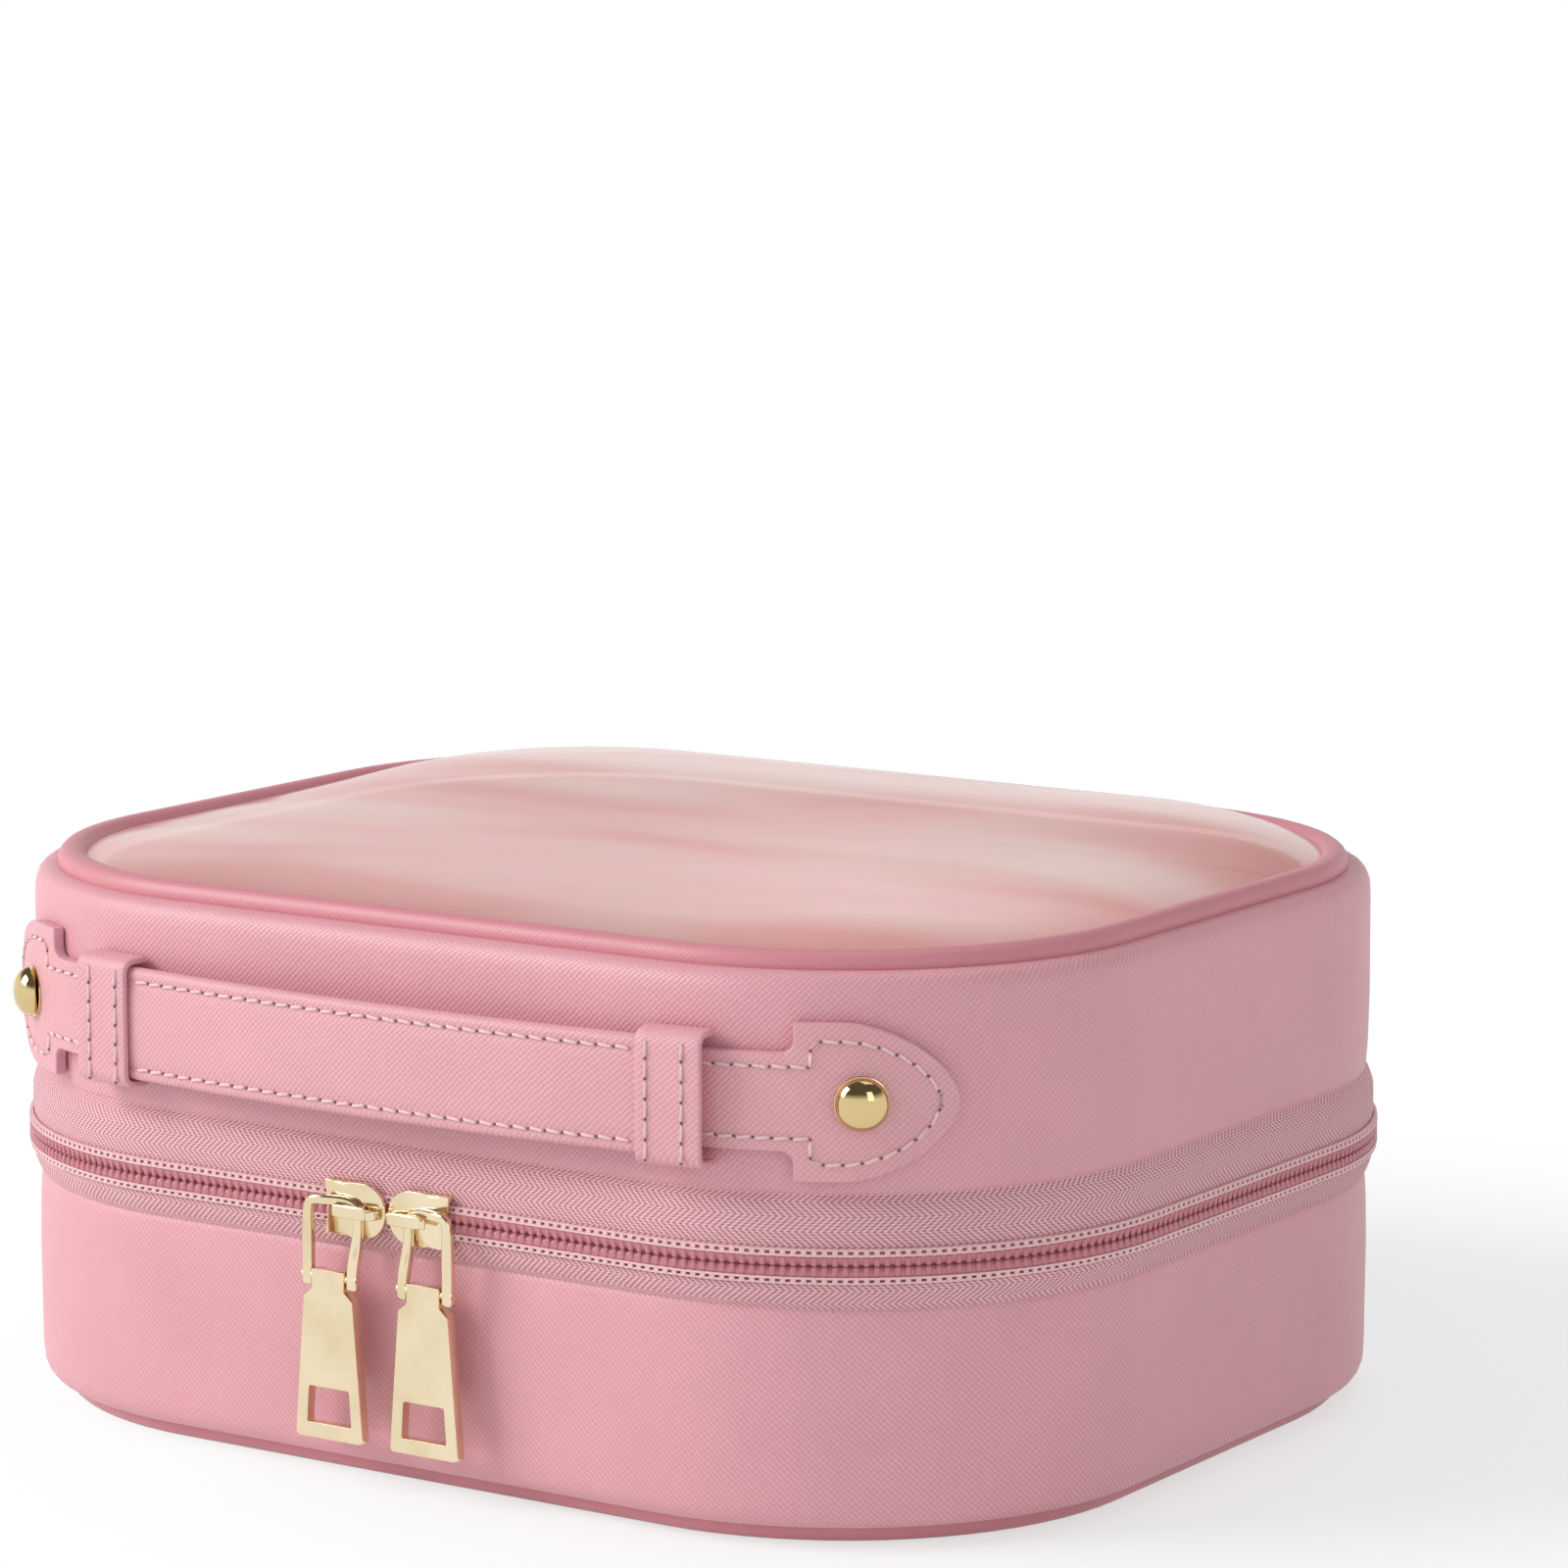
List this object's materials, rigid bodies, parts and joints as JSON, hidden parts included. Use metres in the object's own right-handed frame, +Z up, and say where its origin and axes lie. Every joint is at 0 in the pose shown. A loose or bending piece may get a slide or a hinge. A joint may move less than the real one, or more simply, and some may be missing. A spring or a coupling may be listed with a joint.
{
  "type": "makeup train case",
  "caption": "Soft cosmetics case in two padded halves with clear windows, zipped round the middle, hinged on a fabric spine, with a front handle and clear zip pouches inside.",
  "frame": {"origin": "middle of the underside, on the bottom window's outer face, where the closed case stands", "axes": "+Z up, -Y to the front with the handle and the zip pulls, +Y to the spine, +X to the right seen from the front"},
  "size_m": [0.2284, 0.1935, 0.1],
  "materials": {
    "cover": "cross-grained faux leather",
    "board": "grey board",
    "lining": "woven",
    "clear": "clear flexible sheet",
    "binding": "woven",
    "satin": "satin",
    "tape": "herringbone",
    "coil": "coil",
    "gold": "satin plate"
  },
  "bodies": {
    "base": {"base_wall": "cover", "base_core": "board", "base_lining": "lining", "base_piping": "cover", "base_window": "clear", "base_seam_binding": "binding", "base_rim_binding": "satin", "base_zip_tape": "tape", "base_zip_coil": "coil"},
    "lid": {"lid_wall": "cover", "lid_core": "board", "lid_lining": "lining", "lid_piping": "cover", "lid_window": "clear", "lid_seam_binding": "binding", "lid_rim_binding": "satin", "lid_zip_tape": "tape", "lid_zip_coil": "coil", "handle_tab_left": "cover", "handle_tab_right": "cover", "handle_rivets": "gold", "rivet_washers": "gold"},
    "handle": {"handle_strap": "cover", "keeper_left": "cover", "keeper_right": "cover"},
    "spine": {"spine_cover": "cover", "spine_board": "board", "spine_lining": "satin"},
    "zip_slider_left": {"slider_left": "gold"},
    "zip_bail_left": {"bail_left": "gold", "bail_pin_left": "gold"},
    "zip_pull_left": {"pull_left": "gold"},
    "zip_slider_right": {"slider_right": "gold"},
    "zip_bail_right": {"bail_right": "gold", "bail_pin_right": "gold"},
    "zip_pull_right": {"pull_right": "gold"},
    "page_lower": {"page_lower_binding": "binding", "page_lower_back": "clear", "page_lower_front": "clear", "page_lower_tape": "tape", "page_lower_coil": "coil", "page_lower_strip": "satin"},
    "page_lower_zip": {"page_lower_slider": "gold"},
    "page_lower_tag": {"page_lower_pull": "gold"},
    "page_upper": {"page_upper_binding": "binding", "page_upper_back": "clear", "page_upper_front": "clear", "page_upper_tape": "tape", "page_upper_coil": "coil", "page_upper_strip": "satin"},
    "page_upper_zip": {"page_upper_slider": "gold"},
    "page_upper_tag": {"page_upper_pull": "gold"}
  },
  "joints": [
    {"name": "spine_fold", "type": "hinge", "parent": "base", "child": "spine", "pos_m": [0, 0.0929, 0.041], "axis": [-1, 0, 0], "range_deg": [0, 90]},
    {"name": "lid_fold", "type": "hinge", "parent": "spine", "child": "lid", "pos_m": [0, 0.0929, 0.06], "axis": [-1, 0, 0], "range_deg": [0, 90]},
    {"name": "handle_lift", "type": "slide", "parent": "lid", "child": "handle", "axis": [0, -1, 0], "range_m": [0, 0.026]},
    {"name": "zip_run_left", "type": "slide", "parent": "base", "child": "zip_slider_left", "axis": [-1, 0, 0], "range_m": [0, 0.038]},
    {"name": "bail_swing_left", "type": "hinge", "parent": "zip_slider_left", "child": "zip_bail_left", "pos_m": [-0.01015, -0.09775, 0.0485], "axis": [-1, 0, 0], "range_deg": [0, 90]},
    {"name": "pull_swing_left", "type": "hinge", "parent": "zip_bail_left", "child": "zip_pull_left", "pos_m": [-0.01015, -0.09775, 0.0369], "axis": [-1, 0, 0], "range_deg": [-5, 90]},
    {"name": "zip_run_right", "type": "slide", "parent": "base", "child": "zip_slider_right", "axis": [1, 0, 0], "range_m": [0, 0.038]},
    {"name": "bail_swing_right", "type": "hinge", "parent": "zip_slider_right", "child": "zip_bail_right", "pos_m": [0.01015, -0.09775, 0.0485], "axis": [-1, 0, 0], "range_deg": [0, 90]},
    {"name": "pull_swing_right", "type": "hinge", "parent": "zip_bail_right", "child": "zip_pull_right", "pos_m": [0.01015, -0.09775, 0.0369], "axis": [-1, 0, 0], "range_deg": [-5, 90]},
    {"name": "page_lower_fold", "type": "hinge", "parent": "spine", "child": "page_lower", "pos_m": [0, 0.0884, 0.0493], "axis": [-1, 0, 0], "range_deg": [-30, 0]},
    {"name": "page_upper_fold", "type": "hinge", "parent": "spine", "child": "page_upper", "pos_m": [0, 0.0884, 0.0517], "axis": [-1, 0, 0], "range_deg": [0, 30]},
    {"name": "page_lower_run", "type": "slide", "parent": "page_lower", "child": "page_lower_zip", "axis": [1, 0, 0], "range_m": [0, 0.135]},
    {"name": "page_lower_tag_swing", "type": "hinge", "parent": "page_lower_zip", "child": "page_lower_tag", "pos_m": [-0.07, 0.051, 0.0482], "axis": [0, -1, 0], "range_deg": [0, 15]},
    {"name": "page_upper_run", "type": "slide", "parent": "page_upper", "child": "page_upper_zip", "axis": [-1, 0, 0], "range_m": [0, 0.135]},
    {"name": "page_upper_tag_swing", "type": "hinge", "parent": "page_upper_zip", "child": "page_upper_tag", "pos_m": [0.07, 0.038, 0.0528], "axis": [0, -1, 0], "range_deg": [0, 15]}
  ],
  "couplings": [
    {"joint": "lid_fold", "follows": "spine_fold", "ratio": 1},
    {"joint": "page_lower_fold", "follows": "spine_fold", "ratio": -0.33333},
    {"joint": "page_upper_fold", "follows": "spine_fold", "ratio": 0.33333}
  ]
}
